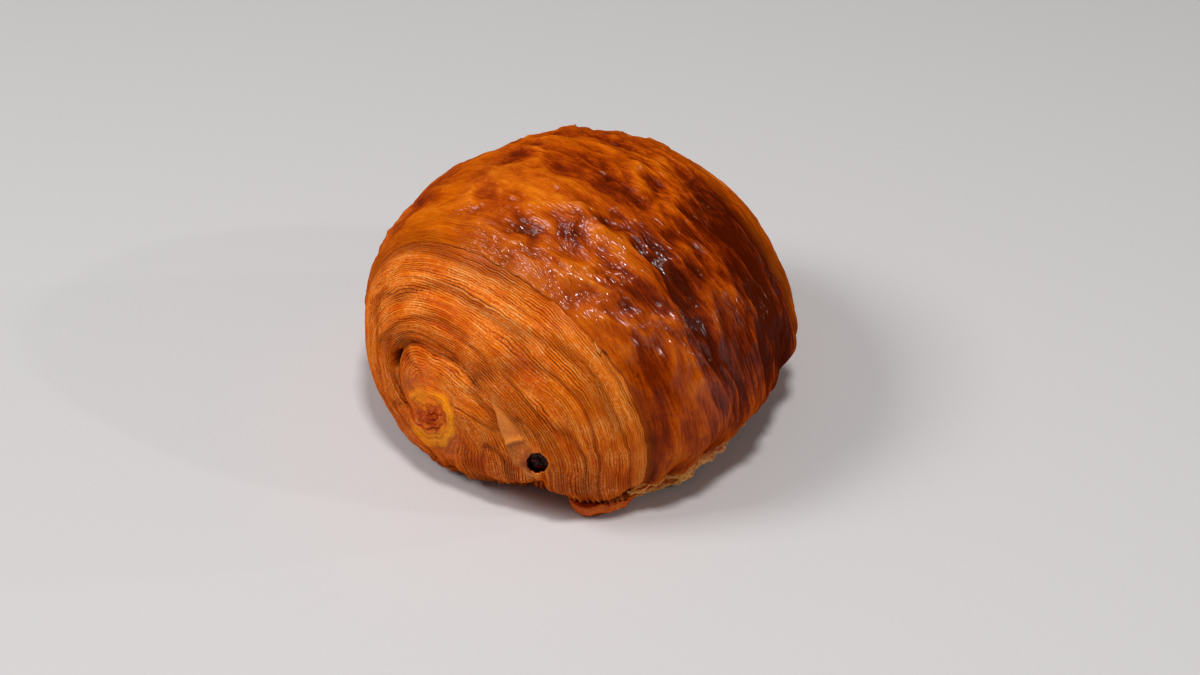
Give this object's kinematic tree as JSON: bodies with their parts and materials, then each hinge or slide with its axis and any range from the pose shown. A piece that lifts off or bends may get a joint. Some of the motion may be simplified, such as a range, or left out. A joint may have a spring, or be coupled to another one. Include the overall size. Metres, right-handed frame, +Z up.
{
  "type": "pain au chocolat",
  "caption": "Rolled, laminated pastry with a glossy wrinkled crust, spiral ends and a chocolate baton running through it.",
  "frame": {"origin": "bottom centre of the pastry's box, on the flat underside", "axes": "+Z up, X along the axis of the roll with the shown spiral end at -X, seam and tail on the -Y side"},
  "size_m": [0.1072, 0.1062, 0.0699],
  "materials": {
    "dough": "glossy egg-washed crust, satin on the cut layers",
    "chocolate": "satin, half melted"
  },
  "bodies": {
    "root": {"dough": "dough", "chocolate": "chocolate"}
  },
  "joints": []
}
